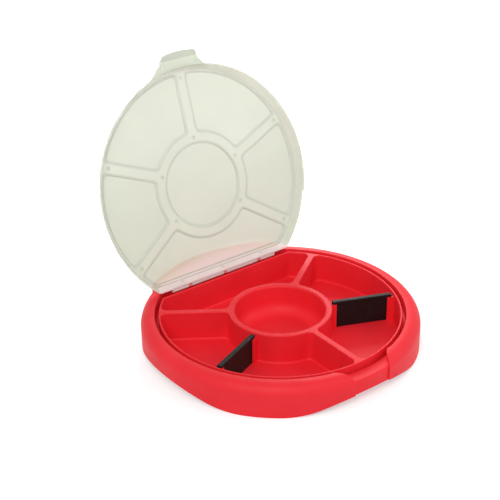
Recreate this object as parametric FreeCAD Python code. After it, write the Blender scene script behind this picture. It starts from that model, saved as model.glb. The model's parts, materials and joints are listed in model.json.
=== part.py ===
import FreeCAD, Part
import math
import os
from FreeCAD import Vector

# Round storage caddy for small hardware: a moulded tray with a centre cup, three fixed
# walls and two lift-out dividers, under a clear lid on a clip hinge. Sizes are in
# millimetres. The origin is on the ground under the middle of the tray, the latch tab is
# at the front (-Y) and the hinge at the back (+Y).

# Tub with its compartments and cup
LIP_HEIGHT = 30.5
TUB_RADIUS = 114.8
TUB_WALL = 1.8
TUB_CORNER = 5.0
REAR_SETBACK = 29.1
FLOOR_THICKNESS = 1.2
CUP_RADIUS = 42.9
RING_WIDTH = 6.3
WALL_WIDTH = 6.4
REAR_WALL_ANGLE = 35.0
COMPARTMENT_CORNER = 6.0
FLOOR_FILLET = 2.0
CUP_FILLET = 12.0
CUP_ROUND = 2.0
LIP_ROUND = 1.0
LIP_OUTER_ROUND = 0.5
CORE_WALL = 1.8

# Groove round the tub, and the rim with its skirt
GROOVE_WIDTH = 3.65
GROOVE_DEPTH = 11.0
RIM_WIDTH = 13.55
RIM_FLAT = 3.35
RIM_RISE = 0.9
RIM_SHELL = 2.2
RIM_EDGE = 0.6

# Arches in the lower edge of the skirt, which leave four feet between them
FRONT_ARCH_HEIGHT = 12.2
SIDE_ARCH_HEIGHT = 10.4
FOOT_HALF_WIDTH = 7.3
ARCH_FLANK = 38.0
ARCH_BASE_DROP = 0.2

# Dividers and the guides that hold them
DIVIDER_ANGLE = 23.0
DIVIDER_THICKNESS = 1.8
RAIL_WIDTH = 4.6
RAIL_HEIGHT = 2.8
RAIL_DROP = 0.3
RAIL_ROUND = 0.6
RAIL_END_GAP = 2.6
SLOT_CLEARANCE = 0.35
SLOT_DEPTH_GAP = 0.6
SEAT_GAP = 0.1
GUIDE_WIDTH = 6.3
RING_GUIDE_REACH = 6.2
WALL_GUIDE_REACH = 6.5
GUIDE_ROUND = 0.8

# Lid: plate and flared skirt, which dips into the groove
LID_OPEN_ANGLE = 107.5
PLATE_RISE = 5.6
PLATE_THICKNESS = 1.3
SKIRT_WALL = 1.35
SKIRT_DIP = 3.9
REAR_DIP = 2.4
REAR_DIP_START = 36.0
LIP_CLEARANCE = 0.33
GROOVE_CLEARANCE = 0.35
REAR_CLEARANCE = 0.66
LID_CORNER = 6.5
LID_EDGE_ROUND = 1.4
LID_INNER_ROUND = 1.0

# Raised pads of the lid, with channels over the walls and the ring between them
PAD_RISE = 1.3
PAD_SLOPE = 1.2
PAD_STEP = 0.9
PAD_MARGIN = 2.2
PAD_RING_GAP = 3.0
PAD_CUP_GAP = 1.0
PAD_WALL_GAP = 2.1
PAD_CORNER = 4.5

# Round marks that the ejector pins leave on the inside of the lid
MARK_RADIUS = 2.0
MARK_DEPTH = 0.6
MARK_END_GAP = 4.4
MARK_REAR_X = 48.0
MARK_TAB_X = 18.5
MARK_TAB_STEP = 5.2

# Latch tab of the lid and the recess under it
TAB_THICKNESS = 1.7
TAB_BAND_THICKNESS = 2.4
TAB_ROOT_HALF = 42.0
TAB_NECK_HALF = 22.0
TAB_TIP_HALF = 18.3
TAB_REACH = 0.4
TAB_BAND = 7.2
TAB_NECK_STEP = 2.2
TAB_FLARE_LENGTH = 17.5
TAB_FLARE = 1.5
TAB_BULGE = 2.0
TAB_CORNER = 3.0
TAB_ROOT_DROP = 0.9
TAB_BEND_DROP = 3.0
TAB_TIP_DROP = 7.0
RECESS_DEPTH = 6.6
RECESS_GAP = 1.2
RECESS_SETBACK = 1.3
RECESS_ROUND = 2.0

# Clip hinge: rod and barrels on the lid, ears on the tray
HINGE_RISE = 0.45
ROD_RADIUS = 1.2
ROD_CLEARANCE = 0.05
EAR_RADIUS = 2.1
EAR_CLEARANCE = 0.6
EAR_WIDTH = 3.6
EAR_SIDE_GAP = 0.4
EAR_SPACING = 42.0
EAR_MOUTH = 2.0
BARREL_RADIUS = 2.0
BARREL_END_X = 62.0
BARREL_WEB = 3.0

# Raised deck behind the hinge, which stops the open lid
DECK_RISE = 3.2
DECK_SETBACK = 0.4
DECK_END_INSET = 12.0
DECK_CORNER = 4.0
DECK_ROUND = 2.6
STOP_GAP = 0.4

# Values worked out from the sizes above
TUB_INNER = TUB_RADIUS - TUB_WALL
REAR_WALL_Y = TUB_RADIUS - REAR_SETBACK
REAR_INNER_Y = REAR_WALL_Y - TUB_WALL
FLOOR_TOP = FLOOR_THICKNESS
RING_OUTER = CUP_RADIUS + RING_WIDTH
FIXED_WALL_ANGLES = (-90.0, REAR_WALL_ANGLE, 180.0 - REAR_WALL_ANGLE)
DIVIDER_ANGLES = {"divider_right": -DIVIDER_ANGLE, "divider_left": 180.0 + DIVIDER_ANGLE}
CHANNEL_ANGLES = FIXED_WALL_ANGLES + tuple(DIVIDER_ANGLES.values())
GUIDE_TOP = LIP_HEIGHT - RAIL_DROP - RAIL_HEIGHT - SEAT_GAP
GROOVE_OUTER = TUB_RADIUS + GROOVE_WIDTH
GROOVE_FLOOR = LIP_HEIGHT - GROOVE_DEPTH
RIM_RADIUS = GROOVE_OUTER + RIM_WIDTH
RIM_TOP = LIP_HEIGHT + RIM_RISE
CROWN_RADIUS = RIM_WIDTH - RIM_FLAT
ARCH_HALF_WIDTH = RIM_RADIUS / math.sqrt(2.0) - FOOT_HALF_WIDTH
ARCH_CROWN_HALF = ARCH_HALF_WIDTH - ARCH_FLANK
PLATE_Z = LIP_HEIGHT + PLATE_RISE
LID_TOP_Z = PLATE_Z + PLATE_THICKNESS
LID_FREE_Z = LIP_HEIGHT - SKIRT_DIP
LID_REAR_FREE_Z = LIP_HEIGHT - REAR_DIP
FLARE = (GROOVE_WIDTH - LIP_CLEARANCE - GROOVE_CLEARANCE - SKIRT_WALL) / SKIRT_DIP
FLARE_ANGLE = math.atan(FLARE)
PLATE_INNER = TUB_RADIUS + LIP_CLEARANCE - FLARE * PLATE_RISE
PLATE_REAR_Y = REAR_WALL_Y + REAR_CLEARANCE - FLARE * PLATE_RISE
PAD_OUTER = PLATE_INNER - PAD_MARGIN
PAD_REAR_Y = PLATE_REAR_Y - PAD_MARGIN
PAD_INNER = RING_OUTER + PAD_RING_GAP
PAD_DISC = CUP_RADIUS - PAD_CUP_GAP
CHANNEL_HALF_WIDTH = WALL_WIDTH / 2.0 + PAD_WALL_GAP
TAB_TIP_Y = -RIM_RADIUS - TAB_REACH
TAB_BEND_Y = TAB_TIP_Y + TAB_BAND
TAB_NECK_Y = TAB_BEND_Y + TAB_NECK_STEP
TAB_ROOT_Y = TAB_NECK_Y + TAB_FLARE_LENGTH
RECESS_FLOOR = RIM_TOP - RECESS_DEPTH
RECESS_FACE_RADIUS = RIM_RADIUS - RECESS_SETBACK
DECK_TOP = RIM_TOP + DECK_RISE
DECK_RADIUS = RIM_RADIUS - DECK_SETBACK
HINGE_Z = LIP_HEIGHT + HINGE_RISE
HINGE_SKIRT_Y = REAR_WALL_Y + REAR_CLEARANCE + SKIRT_WALL - FLARE * HINGE_RISE
HINGE_Y = HINGE_SKIRT_Y + (EAR_RADIUS + EAR_CLEARANCE) / math.cos(FLARE_ANGLE)
HINGE_POINT = Vector(0, HINGE_Y, HINGE_Z)
X_AXIS = Vector(1, 0, 0)
Z_AXIS = Vector(0, 0, 1)
ORIGIN = Vector(0, 0, 0)
BIG = 2.0 * RIM_RADIUS
OVERLAP = 1.0


def box(x0, x1, y0, y1, z0, z1):
    """Block between two corners."""
    return Part.makeBox(x1 - x0, y1 - y0, z1 - z0, Vector(x0, y0, z0))


def cylinder(radius, z0, z1):
    """Upright cylinder on the middle axis."""
    return Part.makeCylinder(radius, z1 - z0, Vector(0, 0, z0))


def turned(shape, angle):
    """Copy of a shape turned about the middle axis."""
    copy = shape.copy()
    copy.rotate(ORIGIN, Z_AXIS, angle)
    return copy


def radial_box(angle, r0, r1, width, z0, z1):
    """Block along a ray from the middle axis."""
    return turned(box(r0, r1, -width / 2.0, width / 2.0, z0, z1), angle)


def arc(start, middle, end):
    """Edge of a circular arc through three points."""
    return Part.Arc(start, middle, end).toShape()


def line(start, end):
    """Straight edge."""
    return Part.LineSegment(start, end).toShape()


def corner_arc(centre, radius, angle0, angle1):
    """Arc in the section plane (radius, height), by its centre and end angles in degrees."""
    points = []
    for angle in (angle0, (angle0 + angle1) / 2.0, angle1):
        a = math.radians(angle)
        points.append(Vector(centre[0] + radius * math.cos(a), 0, centre[1] + radius * math.sin(a)))
    return arc(*points)


def revolved(edges):
    """Ring swept from a closed section in the XZ plane."""
    face = Part.Face(Part.Wire(edges))
    return face.revolve(ORIGIN, Z_AXIS, 360.0)


def upright_edges(solid):
    """Straight edges of a solid that run along Z."""
    found = []
    for edge in solid.Edges:
        run = edge.Vertexes[-1].Point - edge.Vertexes[0].Point
        if isinstance(edge.Curve, Part.Line) and math.hypot(run.x, run.y) < 1e-6:
            found.append(edge)
    return found


def edges_at(solid, height):
    """Edges of a solid that lie flat at one height."""
    found = []
    for edge in solid.Edges:
        zone = edge.BoundBox
        if abs(zone.ZMin - height) < 1e-5 and abs(zone.ZMax - height) < 1e-5:
            found.append(edge)
    return found


def rounded_upright(solid, radius):
    """Solid with its upright corners rounded."""
    return solid.makeFillet(radius, upright_edges(solid))


def rim():
    """Crowned rim with its skirt, groove wall and groove floor."""
    crown = (RIM_RADIUS - CROWN_RADIUS, RIM_TOP - CROWN_RADIUS)
    edge = (GROOVE_OUTER + RIM_EDGE, RIM_TOP - RIM_EDGE)
    shell_r = GROOVE_OUTER + RIM_SHELL
    foot_r = TUB_RADIUS - OVERLAP
    outer = [
        Vector(RIM_RADIUS, 0, 0),
        Vector(RIM_RADIUS, 0, crown[1]),
        Vector(crown[0], 0, RIM_TOP),
        Vector(edge[0], 0, RIM_TOP),
        Vector(GROOVE_OUTER, 0, edge[1]),
        Vector(GROOVE_OUTER, 0, GROOVE_FLOOR),
        Vector(foot_r, 0, GROOVE_FLOOR),
    ]
    inner = [
        Vector(foot_r, 0, GROOVE_FLOOR - RIM_SHELL),
        Vector(shell_r, 0, GROOVE_FLOOR - RIM_SHELL),
        Vector(shell_r, 0, RIM_TOP - RIM_SHELL),
        Vector(crown[0], 0, RIM_TOP - RIM_SHELL),
        Vector(RIM_RADIUS - RIM_SHELL, 0, crown[1]),
        Vector(RIM_RADIUS - RIM_SHELL, 0, 0),
    ]
    edges = [
        line(outer[0], outer[1]),
        corner_arc(crown, CROWN_RADIUS, 0, 90),
        line(outer[2], outer[3]),
        corner_arc(edge, RIM_EDGE, 90, 180),
        line(outer[4], outer[5]),
        line(outer[5], outer[6]),
        line(outer[6], inner[0]),
        line(inner[0], inner[1]),
        line(inner[1], inner[2]),
        line(inner[2], inner[3]),
        corner_arc(crown, CROWN_RADIUS - RIM_SHELL, 90, 0),
        line(inner[4], inner[5]),
        line(inner[5], outer[0]),
    ]
    return revolved(edges)


def rim_block():
    """Rim with nothing hollowed out, from the groove to the outer face."""
    crown = (RIM_RADIUS - CROWN_RADIUS, RIM_TOP - CROWN_RADIUS)
    edges = [
        line(Vector(RIM_RADIUS, 0, 0), Vector(RIM_RADIUS, 0, crown[1])),
        corner_arc(crown, CROWN_RADIUS, 0, 90),
        line(Vector(crown[0], 0, RIM_TOP), Vector(GROOVE_OUTER, 0, RIM_TOP)),
        line(Vector(GROOVE_OUTER, 0, RIM_TOP), Vector(GROOVE_OUTER, 0, 0)),
        line(Vector(GROOVE_OUTER, 0, 0), Vector(RIM_RADIUS, 0, 0)),
    ]
    return revolved(edges)


def arch(height, angle):
    """Cutter for one arch of the skirt's lower edge, an S-curve up each side."""
    rise = height + ARCH_BASE_DROP
    half_turn = math.atan(rise / ARCH_HALF_WIDTH)
    turn = 2.0 * half_turn
    crown_r = ARCH_CROWN_HALF / math.sin(turn)
    flank_r = (ARCH_HALF_WIDTH - ARCH_CROWN_HALF) / math.sin(turn)
    base = -ARCH_BASE_DROP
    y = -RIM_RADIUS - OVERLAP

    def flank(a):
        return Vector(-ARCH_HALF_WIDTH + flank_r * math.sin(a), y, base + flank_r * (1 - math.cos(a)))

    def crown(a):
        return Vector(crown_r * math.sin(a), y, base + rise - crown_r * (1 - math.cos(a)))

    def mirrored(point):
        return Vector(-point.x, point.y, point.z)

    low = Vector(-ARCH_HALF_WIDTH, y, base - OVERLAP)
    edges = [
        line(low, flank(0)),
        arc(flank(0), flank(half_turn), crown(-turn)),
        arc(crown(-turn), crown(0), crown(turn)),
        arc(crown(turn), mirrored(flank(half_turn)), mirrored(flank(0))),
        line(mirrored(flank(0)), mirrored(low)),
        line(mirrored(low), low),
    ]
    face = Part.Face(Part.Wire(edges))
    depth = RIM_RADIUS + OVERLAP - GROOVE_OUTER / math.sqrt(2.0)
    cutter = face.extrude(Vector(0, depth, 0))
    return turned(cutter.cut(cylinder(GROOVE_OUTER, -BIG, BIG)), angle)


def segment(radius, front_y, z0, z1):
    """Part of a disc behind a straight front edge."""
    front = box(-BIG, BIG, front_y, BIG, z0, z1)
    return cylinder(radius, z0, z1).common(front)


def deck(front_y):
    """Raised deck behind the hinge, with its upper edge rounded, and the hollow under it."""
    half = math.sqrt(DECK_RADIUS ** 2 - front_y ** 2) - DECK_END_INSET
    outside = segment(DECK_RADIUS, front_y, GROOVE_FLOOR - RIM_SHELL, DECK_TOP)
    outside = outside.common(box(-half, half, 0, BIG, -BIG, BIG))
    outside = rounded_upright(outside, DECK_CORNER)
    outside = outside.makeFillet(DECK_ROUND, edges_at(outside, DECK_TOP))
    hollow = segment(DECK_RADIUS - RIM_SHELL, front_y + RIM_SHELL, -OVERLAP, DECK_TOP - RIM_SHELL)
    hollow = hollow.common(box(RIM_SHELL - half, half - RIM_SHELL, 0, BIG, -BIG, BIG))
    return outside, hollow


def tab_plan(grow, tip_y):
    """Outline of the latch tab from above, widened all round by one clearance."""
    root = Vector(TAB_ROOT_HALF + grow, TAB_ROOT_Y, 0)
    neck = Vector(TAB_NECK_HALF + grow, TAB_NECK_Y, 0)
    middle = (root + neck) * 0.5 + Vector(-TAB_FLARE, TAB_FLARE / 2.0, 0)
    taper = (TAB_NECK_HALF - TAB_TIP_HALF) / (TAB_NECK_Y - TAB_TIP_Y)
    tip = Vector(neck.x - taper * (TAB_NECK_Y - tip_y), tip_y + TAB_BULGE, 0)

    def other(point):
        return Vector(-point.x, point.y, 0)

    edges = [
        arc(root, middle, neck),
        line(neck, tip),
        arc(tip, Vector(0, tip_y, 0), other(tip)),
        line(other(tip), other(neck)),
        arc(other(neck), other(middle), other(root)),
        line(other(root), root),
    ]
    return Part.Face(Part.Wire(edges))


def latch_recess(body):
    """Body with the finger recess under the latch tab, walled off from the hollow rim."""
    far_y = -RIM_RADIUS - OVERLAP - TAB_BULGE
    floor_z = RECESS_FLOOR - RIM_SHELL
    backing = tab_plan(RECESS_GAP + RIM_SHELL, far_y).extrude(Vector(0, 0, BIG))
    behind_face = cylinder(RECESS_FACE_RADIUS - RIM_SHELL, -OVERLAP, floor_z)
    filling = rim_block().common(backing).cut(behind_face)
    opening = tab_plan(RECESS_GAP, far_y).extrude(Vector(0, 0, BIG))
    stand = cylinder(RECESS_FACE_RADIUS, -OVERLAP, RECESS_FLOOR)
    stand = stand.makeFillet(RECESS_ROUND, edges_at(stand, RECESS_FLOOR))
    keep = cylinder(GROOVE_OUTER, -OVERLAP, BIG)
    return body.fuse(filling).cut(opening.cut(stand).cut(keep))


def compartments():
    """Solids of the three spaces between the fixed walls."""
    top = LIP_HEIGHT + OVERLAP
    space = cylinder(TUB_INNER, FLOOR_TOP, top).cut(cylinder(RING_OUTER, FLOOR_TOP, top))
    for angle in FIXED_WALL_ANGLES:
        space = space.cut(radial_box(angle, 0, TUB_RADIUS, WALL_WIDTH, FLOOR_TOP, top))
    space = space.cut(box(-BIG, BIG, REAR_INNER_Y, BIG, FLOOR_TOP, top))
    spaces = []
    for solid in space.Solids:
        solid = rounded_upright(solid, COMPARTMENT_CORNER)
        spaces.append(solid.makeFillet(FLOOR_FILLET, edges_at(solid, FLOOR_TOP)))
    return spaces


def cup():
    """Solid of the round space in the middle."""
    space = cylinder(CUP_RADIUS, FLOOR_TOP, LIP_HEIGHT + OVERLAP)
    return space.makeFillet(CUP_FILLET, edges_at(space, FLOOR_TOP))


def wall_cores():
    """Hollows under the ring and the fixed walls, open at the bottom."""
    low = -OVERLAP
    top = LIP_HEIGHT - CORE_WALL
    middle = CUP_RADIUS + RING_WIDTH / 2.0
    core = cylinder(RING_OUTER - CORE_WALL, low, top).cut(cylinder(CUP_RADIUS + CORE_WALL, low, top))
    width = WALL_WIDTH - 2.0 * CORE_WALL
    for angle in FIXED_WALL_ANGLES:
        core = core.fuse(radial_box(angle, middle, TUB_INNER, width, low, top))
    return core


def divider_guides(body):
    """Body with a slotted guide on the ring and on the outer wall for each divider."""
    slot_width = DIVIDER_THICKNESS + 2.0 * SLOT_CLEARANCE
    low = FLOOR_TOP - OVERLAP
    spans = (
        (RING_OUTER - CORE_WALL / 2.0, RING_OUTER + RING_GUIDE_REACH),
        (TUB_INNER - WALL_GUIDE_REACH, TUB_INNER + TUB_WALL / 2.0),
    )
    for angle in DIVIDER_ANGLES.values():
        for inner_r, outer_r in spans:
            guide = radial_box(angle, inner_r, outer_r, GUIDE_WIDTH, low, GUIDE_TOP)
            body = body.fuse(rounded_upright(guide, GUIDE_ROUND))
    for angle in DIVIDER_ANGLES.values():
        slot = radial_box(angle, RING_OUTER + SLOT_DEPTH_GAP, TUB_INNER - SLOT_DEPTH_GAP,
                          slot_width, FLOOR_TOP, LIP_HEIGHT)
        body = body.cut(slot)
    return body


def inner_edges(block):
    """Top edges of the spaces in the tub, without those round its outside."""
    found = []
    for edge in edges_at(block, LIP_HEIGHT):
        points = [vertex.Point for vertex in edge.Vertexes]
        inside = [math.hypot(p.x, p.y) < TUB_INNER + 0.01 and p.y < REAR_INNER_Y + 0.01 for p in points]
        if all(inside):
            found.append(edge)
    return found


def tub():
    """Tub with its compartments, cup and divider guides."""
    block = cylinder(TUB_RADIUS, 0, LIP_HEIGHT)
    block = block.cut(box(-BIG, BIG, REAR_WALL_Y, BIG, 0, LIP_HEIGHT))
    corners = [e for e in upright_edges(block) if abs(e.Vertexes[0].Point.y - REAR_WALL_Y) < 1e-5]
    block = block.makeFillet(TUB_CORNER, corners)
    block = block.makeFillet(LIP_OUTER_ROUND, edges_at(block, LIP_HEIGHT))
    for space in compartments():
        block = block.cut(space)
    block = block.makeFillet(LIP_ROUND, inner_edges(block))
    block = block.cut(cup())
    cup_edge = [e for e in inner_edges(block) if abs(e.BoundBox.XMax - CUP_RADIUS) < 1e-3]
    block = block.makeFillet(CUP_ROUND, cup_edge)
    return divider_guides(block.cut(wall_cores()))


def hinge_ears(front_y):
    """Clip ears that reach forward from the deck to the hinge line."""
    ears = []
    bore = ROD_RADIUS + ROD_CLEARANCE
    for middle in (-EAR_SPACING, 0.0, EAR_SPACING):
        x0 = middle - EAR_WIDTH / 2.0
        x1 = middle + EAR_WIDTH / 2.0
        arm = box(x0, x1, HINGE_Y, front_y + RIM_SHELL / 2.0, HINGE_Z - EAR_RADIUS, HINGE_Z + EAR_RADIUS)
        eye = Part.makeCylinder(EAR_RADIUS, EAR_WIDTH, Vector(x0, HINGE_Y, HINGE_Z), X_AXIS)
        hole = Part.makeCylinder(bore, EAR_WIDTH, Vector(x0, HINGE_Y, HINGE_Z), X_AXIS)
        mouth = box(x0, x1, 0, HINGE_Y, HINGE_Z - EAR_MOUTH / 2.0, HINGE_Z + EAR_MOUTH / 2.0)
        ears.append(arm.fuse(eye).cut(hole).cut(mouth))
    return ears


def tray(front_y):
    """The whole tray as one moulding."""
    body = rim()
    moat = segment(GROOVE_OUTER + RIM_SHELL / 2.0, REAR_WALL_Y - TUB_WALL / 2.0,
                   GROOVE_FLOOR - RIM_SHELL, GROOVE_FLOOR)
    deck_solid, deck_hollow = deck(front_y)
    body = body.fuse(moat).fuse(deck_solid).cut(deck_hollow)
    body = latch_recess(body)
    heights = (FRONT_ARCH_HEIGHT, SIDE_ARCH_HEIGHT, SIDE_ARCH_HEIGHT, SIDE_ARCH_HEIGHT)
    for quarter, height in enumerate(heights):
        body = body.cut(arch(height, 90.0 * quarter))
    body = body.fuse(tub())
    for ear in hinge_ears(front_y):
        body = body.fuse(ear)
    return body.removeSplitter()


def divider(angle):
    """Lift-out divider: a thin panel under a rail that rests on the two guides."""
    rail_z = GUIDE_TOP + SEAT_GAP
    rail_top = rail_z + RAIL_HEIGHT
    panel_r0 = RING_OUTER + SLOT_DEPTH_GAP + SLOT_CLEARANCE
    panel_r1 = TUB_INNER - SLOT_DEPTH_GAP - SLOT_CLEARANCE
    panel = radial_box(0, panel_r0, panel_r1, DIVIDER_THICKNESS, FLOOR_TOP + SLOT_CLEARANCE, rail_z)
    rail = radial_box(0, RING_OUTER - OVERLAP, TUB_INNER + OVERLAP, RAIL_WIDTH, rail_z, rail_top)
    rail = rail.common(cylinder(TUB_INNER - RAIL_END_GAP, rail_z, rail_top))
    rail = rail.cut(cylinder(RING_OUTER + RAIL_END_GAP, rail_z, rail_top))
    rail = rail.makeFillet(RAIL_ROUND, edges_at(rail, rail_top))
    return turned(panel.fuse(rail), angle).removeSplitter()


def skirt_radius(z):
    """Outer radius of the lid's flared skirt at a height."""
    return TUB_RADIUS + LIP_CLEARANCE + SKIRT_WALL + FLARE * (LIP_HEIGHT - z)


def skirt_rear_y(z):
    """Outer face of the lid's rear skirt at a height."""
    return REAR_WALL_Y + REAR_CLEARANCE + SKIRT_WALL + FLARE * (LIP_HEIGHT - z)


def lid_outline(radius, rear_y, corner, z):
    """Circle with a straight rear side and rounded corners between them."""
    x = math.sqrt((radius - corner) ** 2 - (rear_y - corner) ** 2)
    centre = Vector(x, rear_y - corner, z)
    on_line = Vector(x, rear_y, z)
    reach = radius / (radius - corner)
    on_circle = Vector(centre.x * reach, centre.y * reach, z)
    half = (math.pi / 2.0 + math.atan2(centre.y, centre.x)) / 2.0
    between = centre + Vector(math.cos(half), math.sin(half), 0) * corner

    def other(point):
        return Vector(-point.x, point.y, z)

    edges = [
        arc(on_line, between, on_circle),
        arc(on_circle, Vector(0, -radius, z), other(on_circle)),
        arc(other(on_circle), other(between), other(on_line)),
        line(other(on_line), on_line),
    ]
    return Part.Wire(edges)


def lid_form(inset, z0, z1):
    """Flared form of the lid between two heights, drawn in by one wall."""
    corner = LID_CORNER - inset
    wires = []
    for z in (z0, z1):
        wires.append(lid_outline(skirt_radius(z) - inset, skirt_rear_y(z) - inset, corner, z))
    return Part.makeLoft(wires, True, True)


def pads(grow, z0, z1):
    """Raised fields of the lid: one per compartment and a disc over the cup."""
    space = cylinder(PAD_OUTER + grow, z0, z1).cut(cylinder(PAD_INNER - grow, z0, z1))
    for angle in CHANNEL_ANGLES:
        space = space.cut(radial_box(angle, 0, RIM_RADIUS, 2.0 * (CHANNEL_HALF_WIDTH - grow), z0, z1))
    space = space.cut(box(-BIG, BIG, PAD_REAR_Y + grow, BIG, z0, z1))
    solids = [rounded_upright(solid, PAD_CORNER) for solid in space.Solids]
    solids.append(cylinder(PAD_DISC + grow, z0, z1))
    return [solid.makeChamfer(PAD_SLOPE, edges_at(solid, z1)) for solid in solids]


def mark(spot, inward):
    """One shallow dished mark with a sloping edge."""
    return Part.makeCone(MARK_RADIUS, MARK_RADIUS - MARK_DEPTH, MARK_DEPTH, spot, inward)


def ejector_marks():
    """Shallow round marks in the channels, along the rear skirt and under the tab."""
    spots = []
    for angle in CHANNEL_ANGLES:
        ray = Vector(math.cos(math.radians(angle)), math.sin(math.radians(angle)), 0)
        spots.append(ray * ((PAD_DISC + PAD_INNER) / 2.0))
        spots.append(ray * (PAD_OUTER - MARK_END_GAP))
    marks = []
    for spot in spots:
        if spot.y < PAD_REAR_Y:
            marks.append(mark(Vector(spot.x, spot.y, PLATE_Z), Z_AXIS))
    outward = Vector(0, math.cos(FLARE_ANGLE), math.sin(FLARE_ANGLE))
    z = (PLATE_Z + LID_REAR_FREE_Z) / 2.0
    for x in (-MARK_REAR_X, 0.0, MARK_REAR_X):
        marks.append(mark(Vector(x, skirt_rear_y(z) - SKIRT_WALL, z), outward))
    slope = (TAB_BEND_DROP - TAB_ROOT_DROP) / (TAB_ROOT_Y - TAB_BEND_Y)
    for x in (-MARK_TAB_X, MARK_TAB_X):
        start = Vector(x, TAB_BEND_Y + MARK_TAB_STEP, PLATE_Z - TAB_BEND_DROP + slope * MARK_TAB_STEP)
        marks.append(mark(start, Vector(0, -slope, 1)))
    return marks


def latch_tab():
    """Bent tab at the front of the lid."""
    under = [
        Vector(0, TAB_ROOT_Y, PLATE_Z - TAB_ROOT_DROP),
        Vector(0, TAB_BEND_Y, PLATE_Z - TAB_BEND_DROP),
        Vector(0, TAB_TIP_Y, PLATE_Z - TAB_TIP_DROP),
    ]
    upper = [point + Vector(0, 0, TAB_THICKNESS) for point in reversed(under)]
    thicker = Vector(0, 0, TAB_THICKNESS - TAB_BAND_THICKNESS)
    band = [under[1] + thicker, under[2] + thicker]
    outline = Part.makePolygon(under[:2] + band + upper + [under[0]])
    slab = Part.Face(outline).extrude(Vector(2.0 * TAB_ROOT_HALF, 0, 0))
    slab.translate(Vector(-TAB_ROOT_HALF, 0, 0))
    plan = tab_plan(0.0, TAB_TIP_Y).extrude(Vector(0, 0, BIG))
    end_y = TAB_TIP_Y + TAB_BULGE
    tip_corners = [e for e in upright_edges(plan) if abs(e.Vertexes[0].Point.y - end_y) < 1e-5]
    return slab.common(plan.makeFillet(TAB_CORNER, tip_corners))


def hinge_barrels():
    """Barrels along the rear skirt, joined by the rod that the ears clip round."""
    half_ear = EAR_WIDTH / 2.0 + EAR_SIDE_GAP
    spans = (
        (-BARREL_END_X, -EAR_SPACING - half_ear),
        (-EAR_SPACING + half_ear, -half_ear),
        (half_ear, EAR_SPACING - half_ear),
        (EAR_SPACING + half_ear, BARREL_END_X),
    )
    along = Vector(0, -math.sin(FLARE_ANGLE), math.cos(FLARE_ANGLE))
    inward = Vector(0, -math.cos(FLARE_ANGLE), -math.sin(FLARE_ANGLE))
    reach = (HINGE_Y - HINGE_SKIRT_Y + SKIRT_WALL / 2.0) * math.cos(FLARE_ANGLE)
    start = Vector(-BARREL_END_X, HINGE_Y, HINGE_Z)
    body = Part.makeCylinder(ROD_RADIUS, 2.0 * BARREL_END_X, start, X_AXIS)
    for x0, x1 in spans:
        at = Vector(x0, HINGE_Y, HINGE_Z)
        half_web = along * (BARREL_WEB / 2.0)
        root = at + inward * reach
        corners = [at - half_web, at + half_web, root + half_web, root - half_web]
        web = Part.Face(Part.makePolygon(corners + [corners[0]])).extrude(Vector(x1 - x0, 0, 0))
        barrel = Part.makeCylinder(BARREL_RADIUS, x1 - x0, at, X_AXIS)
        body = body.fuse(barrel).fuse(web)
    return body


def lid_closed():
    """The lid in its closed place."""
    outside = lid_form(0.0, LID_FREE_Z, LID_TOP_Z)
    outside = outside.makeFillet(LID_EDGE_ROUND, edges_at(outside, LID_TOP_Z))
    inside = lid_form(SKIRT_WALL, LID_FREE_Z - OVERLAP, PLATE_Z)
    inside = inside.makeFillet(LID_INNER_ROUND, edges_at(inside, PLATE_Z))
    body = outside
    for pad in pads(PAD_STEP, PLATE_Z, LID_TOP_Z + PAD_RISE):
        body = body.fuse(pad)
    body = body.fuse(latch_tab()).cut(inside)
    for pad in pads(0.0, PLATE_Z - OVERLAP, PLATE_Z + PAD_RISE):
        body = body.cut(pad)
    body = body.cut(box(-BIG, BIG, REAR_DIP_START, BIG, LID_FREE_Z - OVERLAP, LID_REAR_FREE_Z))
    body = body.fuse(hinge_barrels())
    for mark in ejector_marks():
        body = body.cut(mark)
    return body.removeSplitter()


def opened(shape):
    """Copy of a shape turned from the closed to the open place."""
    copy = shape.copy()
    copy.rotate(HINGE_POINT, X_AXIS, -LID_OPEN_ANGLE)
    return copy


def deck_front():
    """Front of the deck, just behind the rear edge of the open lid."""
    edge = Part.Vertex(Vector(0, skirt_rear_y(LID_TOP_Z), LID_TOP_Z))
    return opened(edge).Point.y + STOP_GAP


def main():
    os.makedirs("parts", exist_ok=True)
    pieces = {"tray": tray(deck_front()), "lid": opened(lid_closed())}
    for name, angle in DIVIDER_ANGLES.items():
        pieces[name] = divider(angle)
    for name, shape in pieces.items():
        solid = shape.Solids[0]
        print(name, len(shape.Solids), shape.isValid(), round(shape.Volume, 1), shape.BoundBox)
        solid.exportStep(os.path.join("parts", name + ".step"))


main()
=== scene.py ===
# %% [markdown]
# # A round compartment caddy
# The real object is four plastic mouldings: a red tray, a frosted lid on a clip hinge and two
# black dividers. Their exact shapes come from the CAD frame. This lesson sets up the camera,
# gives each moulding the finish of its plastic, and then adds the floor and the light.

# %% Load the frame
import json
import math

import bpy
from mathutils import Matrix, Vector


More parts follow.
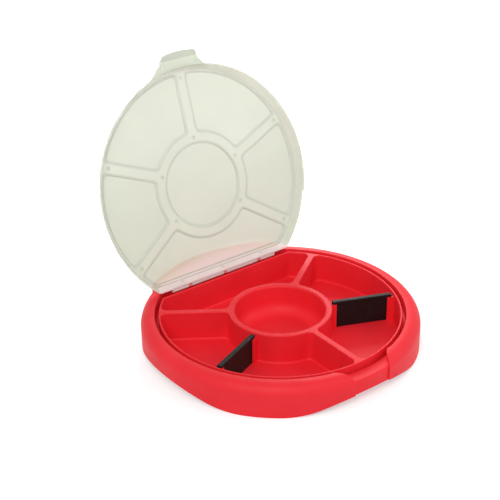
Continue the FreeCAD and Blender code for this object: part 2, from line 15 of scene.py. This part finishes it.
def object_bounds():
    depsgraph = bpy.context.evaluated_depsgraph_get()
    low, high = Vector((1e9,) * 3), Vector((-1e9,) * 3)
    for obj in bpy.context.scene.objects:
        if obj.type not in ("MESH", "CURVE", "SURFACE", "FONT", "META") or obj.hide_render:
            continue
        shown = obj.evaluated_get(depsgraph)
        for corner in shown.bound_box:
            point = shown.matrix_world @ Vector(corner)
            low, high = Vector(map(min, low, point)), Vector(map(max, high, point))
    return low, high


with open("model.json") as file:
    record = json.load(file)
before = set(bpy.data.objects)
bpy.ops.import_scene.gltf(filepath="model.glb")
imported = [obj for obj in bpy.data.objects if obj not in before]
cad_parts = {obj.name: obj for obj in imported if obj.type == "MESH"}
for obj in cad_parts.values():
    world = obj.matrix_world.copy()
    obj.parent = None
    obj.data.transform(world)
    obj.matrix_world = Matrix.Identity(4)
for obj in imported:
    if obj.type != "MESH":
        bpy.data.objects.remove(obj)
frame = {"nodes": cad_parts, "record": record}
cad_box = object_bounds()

nodes = frame["nodes"]
scene = bpy.context.scene
for name, piece in sorted(nodes.items()):
    print(name, "has", len(piece.data.polygons), "faces")

# %% [markdown]
# ## The camera
# A product photograph like this one is taken with a long lens from above the front left corner.
# The camera could be aimed with a constraint, but a matrix built from its three own axes also
# holds the small roll of the picture, and stays put when the object moves.

# %% Camera
IMAGE_WIDTH_PX = 500.0
FOCAL_PX = 1130.7
SENSOR_MM = 36.0
FARTHEST_M = 50.0
CAMERA_PLACE = Vector((-0.56507, -0.72444, 0.58111))
CAMERA_BACK = Vector((-0.52217, -0.71241, 0.46886)).normalized()
CAMERA_ROLL = math.radians(-1.07)


def camera_matrix():
    """Place and axes of the camera: it looks against its own Z axis."""
    level_right = Vector((0, 0, 1)).cross(CAMERA_BACK).normalized()
    level_up = CAMERA_BACK.cross(level_right)
    right = math.cos(CAMERA_ROLL) * level_right + math.sin(CAMERA_ROLL) * level_up
    up = CAMERA_BACK.cross(right)
    axes = Matrix((right, up, CAMERA_BACK)).transposed()
    return Matrix.Translation(CAMERA_PLACE) @ axes.to_4x4()


camera_data = bpy.data.cameras.new("camera")
camera_data.sensor_fit = "HORIZONTAL"
camera_data.sensor_width = SENSOR_MM
camera_data.lens = SENSOR_MM * FOCAL_PX / IMAGE_WIDTH_PX
camera_data.clip_end = FARTHEST_M
camera = bpy.data.objects.new("camera", camera_data)
scene.collection.objects.link(camera)
camera.matrix_world = camera_matrix()
scene.camera = camera
print("lens", round(camera_data.lens, 2), "mm")

# %% [markdown]
# ## Nodes by name
# Every finish below is a small tree of shader nodes. These helpers make a node, set its sockets
# and join it to others, so that each finish reads as a list of what it is made of.

# %% Helpers for nodes


def new_finish(name):
    """A material with a Principled shader, and the node tree that holds it."""
    finish = bpy.data.materials.new(name)
    finish.use_nodes = True
    return finish, finish.node_tree, finish.node_tree.nodes["Principled BSDF"]


def feed(tree, value, socket):
    """A link or a plain value put into a socket."""
    if isinstance(value, bpy.types.NodeSocket):
        tree.links.new(value, socket)
    else:
        socket.default_value = value


def add(tree, kind, settings=None, **sockets):
    """A node of one kind, with its settings, and with values or links for its sockets."""
    node = tree.nodes.new(kind)
    for key, value in (settings or {}).items():
        setattr(node, key, value)
    for key, value in sockets.items():
        feed(tree, value, node.inputs[key])
    return node


def calculate(tree, operation, *values, kind="ShaderNodeMath"):
    """The number that a Math node gives for values or links in order."""
    node = add(tree, kind, {"operation": operation})
    for value, socket in zip(values, node.inputs):
        feed(tree, value, socket)
    return node.outputs["Value"]


def measure(tree, operation, *vectors):
    """The number that a Vector Math node gives for vectors or links in order."""
    return calculate(tree, operation, *vectors, kind="ShaderNodeVectorMath")


def remapped(tree, value, given, wanted, way="LINEAR"):
    """A value within one range carried over to another range, and held at its ends."""
    node = add(tree, "ShaderNodeMapRange", {"interpolation_type": way}, Value=value)
    for end, number in zip(("From Min", "From Max", "To Min", "To Max"), (*given, *wanted)):
        node.inputs[end].default_value = number
    return node.outputs["Result"]


def object_place(tree):
    """Coordinates in metres that stay with the piece when it moves."""
    return add(tree, "ShaderNodeTexCoord").outputs["Object"]


print("node helpers ready")

# %% [markdown]
# ## What the plastics share
# A moulded plastic has a colour that is never mixed quite evenly, a gloss that varies in patches
# and a fine grain from the mould. Pictures could hold all three, but noise in the piece's own
# coordinates needs no files, fits every face and moves with the piece.

# %% Helpers for plastics
CLOUD_DETAIL = 3.0
PATCH_DETAIL = 4.0
GRAIN_DETAIL = 2.0
DARK_STOP = 0.3
LIGHT_STOP = 0.7


def noise(tree, place, scale, detail):
    """Noise over the object's own coordinates, with scale in features per metre."""
    node = add(tree, "ShaderNodeTexNoise", Vector=place, Scale=scale, Detail=detail)
    return node.outputs["Fac"]


def two_tones(tree, factor, dark, light):
    """A ramp from a dark to a light tone of one colour."""
    ramp = add(tree, "ShaderNodeValToRGB", Fac=factor)
    stops = ramp.color_ramp.elements
    for stop, position, tone in zip(stops, (DARK_STOP, LIGHT_STOP), (dark, light)):
        stop.position = position
        stop.color = (*tone, 1.0)
    return ramp.outputs["Color"]


def surface(tree, shader, patches, roughness, grain, strength, depth):
    """Roughness from one pattern, and a relief of a real depth in metres from another."""
    feed(tree, remapped(tree, patches, (0.0, 1.0), roughness), shader.inputs["Roughness"])
    relief = add(tree, "ShaderNodeBump", Height=grain, Strength=strength, Distance=depth)
    feed(tree, relief.outputs["Normal"], shader.inputs["Normal"])


def give(piece, finish):
    """The finish in place of every material the piece came with."""
    piece.data.materials.clear()
    piece.data.materials.append(finish)


print("plastic helpers ready")

# %% [markdown]
# ## Red tray
# The tray is injection moulded in red polypropylene. The mould is spark-eroded, which leaves a
# fine even grain and a satin gloss. One flat colour would look drawn, so a cloudy two-tone
# colour, a cloudy roughness and a fine bump are laid over each other.

# %% Red tray
RED_DARK = (0.80, 0.017, 0.028)
RED_LIGHT = (0.87, 0.023, 0.036)
RED_CLOUDS = 22.0
RED_PATCHES = 60.0
RED_ROUGHNESS = (0.48, 0.60)
RED_GRAIN = 2200.0
RED_GRAIN_STRENGTH = 0.10
RED_GRAIN_DEPTH = 0.0003
RED_SHINE = 0.26


def red_polypropylene():
    """Satin red plastic with spark-eroded grain."""
    finish, tree, shader = new_finish("red_polypropylene")
    place = object_place(tree)
    clouds = noise(tree, place, RED_CLOUDS, CLOUD_DETAIL)
    feed(tree, two_tones(tree, clouds, RED_DARK, RED_LIGHT), shader.inputs["Base Color"])
    patches = noise(tree, place, RED_PATCHES, PATCH_DETAIL)
    grain = noise(tree, place, RED_GRAIN, GRAIN_DETAIL)
    surface(tree, shader, patches, RED_ROUGHNESS, grain, RED_GRAIN_STRENGTH, RED_GRAIN_DEPTH)
    shader.inputs["Specular IOR Level"].default_value = RED_SHINE
    return finish


give(nodes["tray"], red_polypropylene())
print("tray finished in", nodes["tray"].data.materials[0].name)

# %% [markdown]
# ## Frosted lid: finding places on it
# The lid stands open here and leans back on its hinge. Its shape is simple in the closed lid's
# plan, where it is a round plate about the middle of the tray. Places could be measured on the
# open lid, but turning its coordinates shut about the frame's own hinge is shorter and exact.

# %% Places on the lid
joints = frame["record"]["behaviour"]["joints"]
lid_hinge = next(joint for joint in joints if joint["name"] == "lid_hinge")
HINGE = Vector(lid_hinge["pos_m"])
OPENING = math.radians(lid_hinge["range_deg"][1])
PLATE_FACING = (0.0, -math.sin(OPENING), -math.cos(OPENING))


def open_place(tree):
    """X, Y and Z in metres of a point of the open lid."""
    return add(tree, "ShaderNodeSeparateXYZ", Vector=object_place(tree)).outputs


def closed_place(tree):
    """X, Y and Z in metres that the point has when the lid is closed."""
    shut = add(tree, "ShaderNodeMapping", Vector=object_place(tree), Rotation=(OPENING, 0.0, 0.0))
    shut.inputs["Location"].default_value = HINGE - Matrix.Rotation(OPENING, 3, "X") @ HINGE
    return add(tree, "ShaderNodeSeparateXYZ", Vector=shut.outputs["Vector"]).outputs


def plate_facing(tree):
    """1 on the plate's inside, -1 on its outside, and in between where a face leans."""
    normal = add(tree, "ShaderNodeTexCoord").outputs["Normal"]
    return measure(tree, "DOT_PRODUCT", normal, PLATE_FACING)


print("lid stands open by", round(math.degrees(OPENING), 1), "degrees")

# %% [markdown]
# ## Frosted lid: raised fields
# Over each compartment the plate is raised in a rounded field, and over the cup in a disc. How
# far a point lies from the nearest outline could be painted as a picture. Here it is worked out
# from the circles and channels that bound the fields. Both halves of the lid are alike, so the
# distance sideways from the middle serves both.

# %% Raised fields of the lid
DISC_RADIUS = 0.0419
FIELD_INNER = 0.0522
FIELD_OUTER = 0.1106
FIELD_ROUNDING = 0.0079
CHANNEL_HALF = 0.0053
FRONT_CHANNEL = math.radians(-90.0)
SIDE_CHANNELS = (math.radians(35.0), math.radians(-23.0))


def off_fields(tree, sideways, rearward):
    """Distance in metres out of the nearest raised field, below zero inside it."""
    square = calculate(tree, "MULTIPLY", sideways, sideways)
    square = calculate(tree, "MULTIPLY_ADD", rearward, rearward, square)
    radius = calculate(tree, "SQRT", square)
    behind = calculate(tree, "MAXIMUM", rearward, 0.0)
    off_channels = [calculate(tree, "ADD", sideways, behind)]
    for angle in SIDE_CHANNELS:
        from_side = calculate(tree, "MULTIPLY", sideways, math.sin(angle))
        from_rear = calculate(tree, "MULTIPLY", rearward, math.cos(angle))
        aside = calculate(tree, "SUBTRACT", from_rear, from_side)
        off_channels.append(calculate(tree, "ABSOLUTE", aside))
    limits = [calculate(tree, "SUBTRACT", FIELD_INNER, radius)]
    limits += [calculate(tree, "SUBTRACT", CHANNEL_HALF, off) for off in off_channels]
    outside = calculate(tree, "SUBTRACT", radius, FIELD_OUTER)
    for limit in limits:
        outside = calculate(tree, "SMOOTH_MAX", outside, limit, FIELD_ROUNDING)
    off_disc = calculate(tree, "SUBTRACT", radius, DISC_RADIUS)
    return calculate(tree, "MINIMUM", outside, off_disc)


print("fields lie between", FIELD_INNER, "and", FIELD_OUTER, "m from the middle")

# %% [markdown]
# ## Frosted lid: painted shade lines
# The steps round the fields are seen through more plastic than the flat plate, so they read as
# soft grey-green lines, and so do the small round marks in the channels. That darkness is painted
# shade in the colour. A step's slope gives the sharp middle of its line away: the normal there
# leans halfway between the plate and its edge. The soft sides come from the distance to the
# outline. More geometry could not make the lines softer, so they are painted shade.

# %% Painted shade lines of the lid
MARK_PLACES = (0.04705, 0.1062)
STEP_MIDDLE = -0.00015
STEP_CORE = 0.0008
STEP_EDGE = 0.0024
STEP_SHARE = 0.90
STEP_LEAN = math.cos(math.radians(45.0))
STEP_SPREAD = 0.24
STEPS_FROM = 0.034
STRIP_TOP = 0.0358


def off_marks(tree, sideways, rearward):
    """Distance in metres from the nearest round mark in the channels."""
    spot = add(tree, "ShaderNodeCombineXYZ", X=sideways, Y=rearward).outputs["Vector"]
    distances = []
    for angle in (FRONT_CHANNEL, *SIDE_CHANNELS):
        for reach in MARK_PLACES:
            mark = (reach * math.cos(angle), reach * math.sin(angle), 0.0)
            distances.append(measure(tree, "DISTANCE", spot, mark))
    nearest = distances[0]
    for distance in distances[1:]:
        nearest = calculate(tree, "MINIMUM", nearest, distance)
    return nearest


def soft_shade_lines(tree):
    """The painted shade's share in soft bands along the outlines and on the marks."""
    place = closed_place(tree)
    sideways = calculate(tree, "ABSOLUTE", place["X"])
    from_step = calculate(tree, "SUBTRACT", off_fields(tree, sideways, place["Y"]), STEP_MIDDLE)
    off_step = calculate(tree, "ABSOLUTE", from_step)
    off_line = calculate(tree, "MINIMUM", off_step, off_marks(tree, sideways, place["Y"]))
    share = remapped(tree, off_line, (STEP_CORE, STEP_EDGE), (STEP_SHARE, 0.0), "SMOOTHSTEP")
    above_strip = calculate(tree, "GREATER_THAN", open_place(tree)["Z"], STRIP_TOP)
    return calculate(tree, "MULTIPLY", share, above_strip)


def sharp_shade_lines(tree):
    """Painted shade: 1 where the plate slopes in a step, and 0 on its flats, on the skirt and at
    the hinge.
    """
    lean = calculate(tree, "ABSOLUTE", plate_facing(tree))
    sloping = calculate(tree, "COMPARE", lean, STEP_LEAN, STEP_SPREAD)
    above_hinge = calculate(tree, "GREATER_THAN", open_place(tree)["Z"], STEPS_FROM)
    return calculate(tree, "MULTIPLY", sloping, above_hinge)


print("soft lines are", round(2.0 * STEP_EDGE, 4), "m wide")

# %% [markdown]
# ## Frosted lid: red shining through
# Close to the hinge the red rim shines through the real lid. Alpha alone shows that too dark, so
# a pale blush in a low arch, and a pink strip under it, are painted on to stand for it. Being
# paint, they stay when the lid moves, so the blush is kept to the inside of the lid.

# %% Blush of the lid
BLUSH = (1.0, 0.955, 0.905)
BLUSH_SHARE = 0.95
BLUSH_FROM = 0.040
BLUSH_TO = 0.056
BLUSH_ARCH = 2.2
STRIP_TINT = (1.0, 0.82, 0.80)


def near_hinge(tree):
    """The blush's share: full in a low arch inside the lid over the hinge, and none above it."""
    place = open_place(tree)
    square = calculate(tree, "MULTIPLY", place["X"], place["X"])
    level = calculate(tree, "MULTIPLY_ADD", square, BLUSH_ARCH, place["Z"])
    share = remapped(tree, level, (BLUSH_FROM, BLUSH_TO), (BLUSH_SHARE, 0.0), "SMOOTHSTEP")
    inside = calculate(tree, "GREATER_THAN", plate_facing(tree), 0.0)
    return calculate(tree, "MULTIPLY", share, inside)


def on_strip(tree):
    """1 on the strip along the hinge, and 0 above it."""
    return calculate(tree, "LESS_THAN", open_place(tree)["Z"], STRIP_TOP)


print("blush reaches", BLUSH_TO, "m up")

# %% [markdown]
# ## Frosted lid: the plastic
# The lid is natural polypropylene, which is milky: things close behind it show through faintly,
# and the plate glows with light from both sides. A low alpha lets a part of the view straight
# through, and subsurface scattering spreads the rest of the light inside the plastic. A volume
# would do both, but it would be slow and would not export.

# %% Frosted lid
IVORY_DARK = (0.695, 0.74, 0.605)
IVORY_LIGHT = (0.745, 0.785, 0.655)
PAINTED_LINE_SHADE = (0.60, 0.64, 0.525)
IVORY_CLOUDS = 14.0
IVORY_PATCHES = 40.0
IVORY_ROUGHNESS = (0.20, 0.30)
IVORY_GRAIN = 1500.0
IVORY_GRAIN_STRENGTH = 0.06
IVORY_GRAIN_DEPTH = 0.0002
IVORY_ALPHA = 0.63
IVORY_IOR = 1.45
SCATTER_RADIUS = (1.0, 1.0, 0.8)
SCATTER_SCALE = 0.0005


def tinted(tree, colour, factor, tint):
    """A colour mixed with a tint by a factor from 0 to 1."""
    mix = add(tree, "ShaderNodeMix", {"data_type": "RGBA"}, Factor=factor, A=colour)
    mix.inputs["B"].default_value = (*tint, 1.0)
    return mix.outputs["Result"]


def natural_polypropylene():
    """Milky translucent plastic."""
    finish, tree, shader = new_finish("natural_polypropylene")
    place = object_place(tree)
    clouds = noise(tree, place, IVORY_CLOUDS, CLOUD_DETAIL)
    colour = two_tones(tree, clouds, IVORY_DARK, IVORY_LIGHT)
    colour = tinted(tree, colour, near_hinge(tree), BLUSH)
    colour = tinted(tree, colour, on_strip(tree), STRIP_TINT)
    # Painted shade: the steps and marks are darkened in the colour.
    lines = calculate(tree, "MAXIMUM", sharp_shade_lines(tree), soft_shade_lines(tree))
    feed(tree, tinted(tree, colour, lines, PAINTED_LINE_SHADE), shader.inputs["Base Color"])
    patches = noise(tree, place, IVORY_PATCHES, PATCH_DETAIL)
    grain = noise(tree, place, IVORY_GRAIN, GRAIN_DETAIL)
    surface(tree, shader, patches, IVORY_ROUGHNESS, grain, IVORY_GRAIN_STRENGTH, IVORY_GRAIN_DEPTH)
    shader.inputs["Alpha"].default_value = IVORY_ALPHA
    shader.inputs["IOR"].default_value = IVORY_IOR
    shader.inputs["Subsurface Weight"].default_value = 1.0
    shader.inputs["Subsurface Radius"].default_value = SCATTER_RADIUS
    shader.inputs["Subsurface Scale"].default_value = SCATTER_SCALE
    return finish


give(nodes["lid"], natural_polypropylene())
print("lid finished in", nodes["lid"].data.materials[0].name)

# %% [markdown]
# ## Black dividers
# The dividers are black and a little smoother than the tray, and they are rubbed whenever they
# are pulled out. Scratches could be modelled one by one, but they would be too fine to see, so
# noise that is stretched along the panel makes faint scuffs in the roughness.

# %% Black dividers
BLACK_DARK = (0.005, 0.005, 0.005)
BLACK_LIGHT = (0.010, 0.010, 0.009)
BLACK_CLOUDS = 70.0
BLACK_SCUFFS = 120.0
SCUFF_DETAIL = 5.0
SCUFF_STRETCH = (1.0, 1.0, 14.0)
BLACK_ROUGHNESS = (0.44, 0.60)
BLACK_GRAIN = 2600.0
BLACK_GRAIN_STRENGTH = 0.08
BLACK_GRAIN_DEPTH = 0.0002
BLACK_SHINE = 0.22


def black_plastic():
    """Satin black plastic with faint scuffs."""
    finish, tree, shader = new_finish("black_plastic")
    place = object_place(tree)
    clouds = noise(tree, place, BLACK_CLOUDS, CLOUD_DETAIL)
    feed(tree, two_tones(tree, clouds, BLACK_DARK, BLACK_LIGHT), shader.inputs["Base Color"])
    stretched = add(tree, "ShaderNodeMapping", Vector=place, Scale=SCUFF_STRETCH)
    scuffs = noise(tree, stretched.outputs["Vector"], BLACK_SCUFFS, SCUFF_DETAIL)
    grain = noise(tree, place, BLACK_GRAIN, GRAIN_DETAIL)
    surface(tree, shader, scuffs, BLACK_ROUGHNESS, grain, BLACK_GRAIN_STRENGTH, BLACK_GRAIN_DEPTH)
    shader.inputs["Specular IOR Level"].default_value = BLACK_SHINE
    return finish


divider_finish = black_plastic()
for side in ("divider_right", "divider_left"):
    give(nodes[side], divider_finish)
    print(side, "finished in", divider_finish.name)

# %% [markdown]
# ## Floor
# The photograph has a plain white ground. Stronger lamps would make the floor white, but they
# would bleach the object too. A pale floor with a little glow that only the camera, reflections
# and clear plastic see stays white, and still takes the soft shadow that holds the tray down. The
# lamps light the far floor less, so the glow grows with the distance.

# %% Floor
FLOOR_HALF = 4.0
FLOOR_DROP = 0.0002
CARD_DARK = (0.796, 0.796, 0.796)
CARD_LIGHT = (0.804, 0.804, 0.804)
CARD_FIBRES = 30.0
CARD_ROUGHNESS = 0.9
GLOW = (0.42, 0.80)
GLOW_DISTANCES = (0.5, 2.5)
WHITE = (1.0, 1.0, 1.0, 1.0)


def seen_directly(tree):
    """1 for rays from the camera, from reflections and through clear plastic."""
    path = add(tree, "ShaderNodeLightPath").outputs
    opaque = calculate(tree, "MAXIMUM", path["Is Camera Ray"], path["Is Glossy Ray"])
    return calculate(tree, "MAXIMUM", opaque, path["Is Transmission Ray"])


def pale_card():
    """Pale matt card that glows a little for the camera, and more further off."""
    finish, tree, shader = new_finish("pale_card")
    place = object_place(tree)
    fibres = noise(tree, place, CARD_FIBRES, PATCH_DETAIL)
    feed(tree, two_tones(tree, fibres, CARD_DARK, CARD_LIGHT), shader.inputs["Base Color"])
    shader.inputs["Roughness"].default_value = CARD_ROUGHNESS
    shader.inputs["Specular IOR Level"].default_value = 0.0
    shader.inputs["Emission Color"].default_value = WHITE
    level = remapped(tree, measure(tree, "LENGTH", place), GLOW_DISTANCES, GLOW)
    glow = calculate(tree, "MULTIPLY", seen_directly(tree), level)
    feed(tree, glow, shader.inputs["Emission Strength"])
    return finish


signs = ((-1, -1), (1, -1), (1, 1), (-1, 1))
corners = [(FLOOR_HALF * x, FLOOR_HALF * y, 0.0) for x, y in signs]
floor_mesh = bpy.data.meshes.new("floor")
floor_mesh.from_pydata(corners, [], [(0, 1, 2, 3)])
floor = bpy.data.objects.new("floor", floor_mesh)
floor.location.z = cad_box[0][2] - FLOOR_DROP
scene.collection.objects.link(floor)
give(floor, pale_card())
print("floor at", round(floor.location.z, 4))

# %% [markdown]
# ## Surroundings
# A studio's pale walls send soft light from all sides. A room could be built, but an even white
# world does the same. It is white where the camera, reflections and clear plastic see it, and
# weaker as a light, so that the lamps still shape the object.

# %% Surroundings
SKY_LIGHT = 0.55
SKY_SEEN = 1.0
world = bpy.data.worlds.new("surroundings")
scene.world = world
world.use_nodes = True
sky = world.node_tree.nodes["Background"]
sky_seen = seen_directly(world.node_tree)
sky_level = remapped(world.node_tree, sky_seen, (0.0, 1.0), (SKY_LIGHT, SKY_SEEN))
feed(world.node_tree, sky_level, sky.inputs["Strength"])
sky.inputs["Color"].default_value = WHITE
print("sky lights the object at", SKY_LIGHT)

# %% [markdown]
# ## Studio light
# Large soft boxes keep the shadows faint. The main one stands high at the front left, near the
# camera, and a weaker one at the right opens up the dark sides of the compartments. A small one
# behind the lid, at the right, shines through the frosted plastic. It also lights the right side
# of the rim a little.

# %% Lights
TARGET = Vector((0.0, 0.0, 0.03))


def soft_box(name, place, size, power):
    """A square area light that faces the tray."""
    data = bpy.data.lights.new(name, "AREA")
    data.size = size
    data.energy = power
    light = bpy.data.objects.new(name, data)
    light.location = place
    light.rotation_euler = (TARGET - Vector(place)).to_track_quat("-Z", "Y").to_euler()
    scene.collection.objects.link(light)
    print(name, "at", place, power, "W")


soft_box("main_light", (-1.3, -1.2, 1.7), 1.2, 24.0)
soft_box("side_light", (1.4, -1.0, 1.2), 1.0, 7.0)
soft_box("back_light", (0.45, 0.70, 0.50), 0.3, 4.6)

# %% [markdown]
# ## View transform
# The looks must not change the size of the part. The scene keeps the standard view transform.

# %% View transform
scene.view_settings.view_transform = "Standard"
